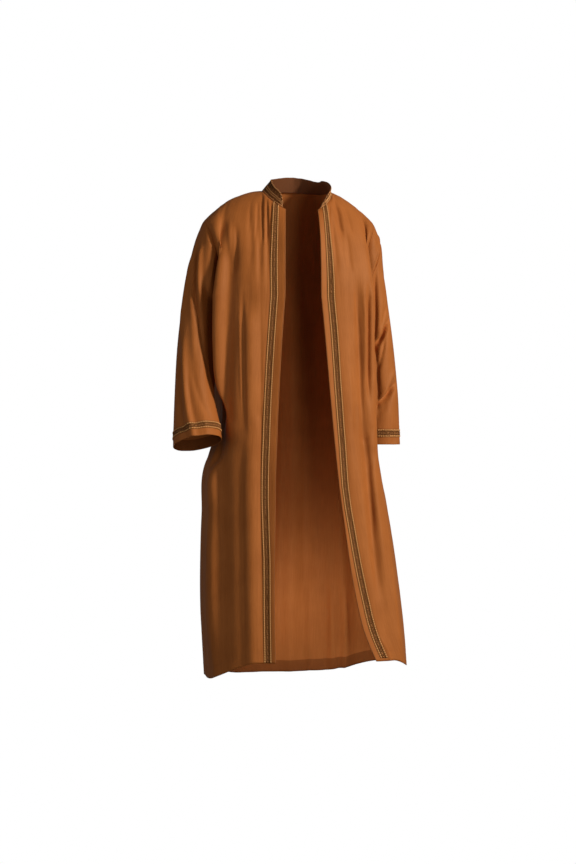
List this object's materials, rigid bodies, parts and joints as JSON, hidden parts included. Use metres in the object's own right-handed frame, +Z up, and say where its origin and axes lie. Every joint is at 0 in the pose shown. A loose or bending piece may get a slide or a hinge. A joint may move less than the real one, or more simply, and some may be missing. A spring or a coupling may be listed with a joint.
{
  "type": "thobe",
  "caption": "Long open-front thobe in thin brown cloth, worn form with no wearer: stand collar, straight sleeves, gold woven braid at the front edges, cuffs and collar.",
  "frame": {"origin": "middle of the neck opening at the height of the neck seam's sides, which is where the wearer's shoulders and neck hold the robe up", "axes": "+Z up, -Y towards the front of the wearer, so the wearer's right side is at -X"},
  "size_m": [0.6749, 0.3792, 1.4166],
  "materials": {
    "robe_cloth": "matte-satin polyester crepe, warm brown",
    "gold_braid": "woven braid in gold metallic yarn on dark brown"
  },
  "bodies": {
    "root": {"front_right": "robe_cloth", "front_left": "robe_cloth", "back": "robe_cloth", "sleeve_right": "robe_cloth", "sleeve_left": "robe_cloth", "collar": "robe_cloth", "front_braid_right": "gold_braid", "front_braid_left": "gold_braid", "cuff_braid_right": "gold_braid", "cuff_braid_left": "gold_braid", "collar_braid": "gold_braid"}
  },
  "joints": []
}
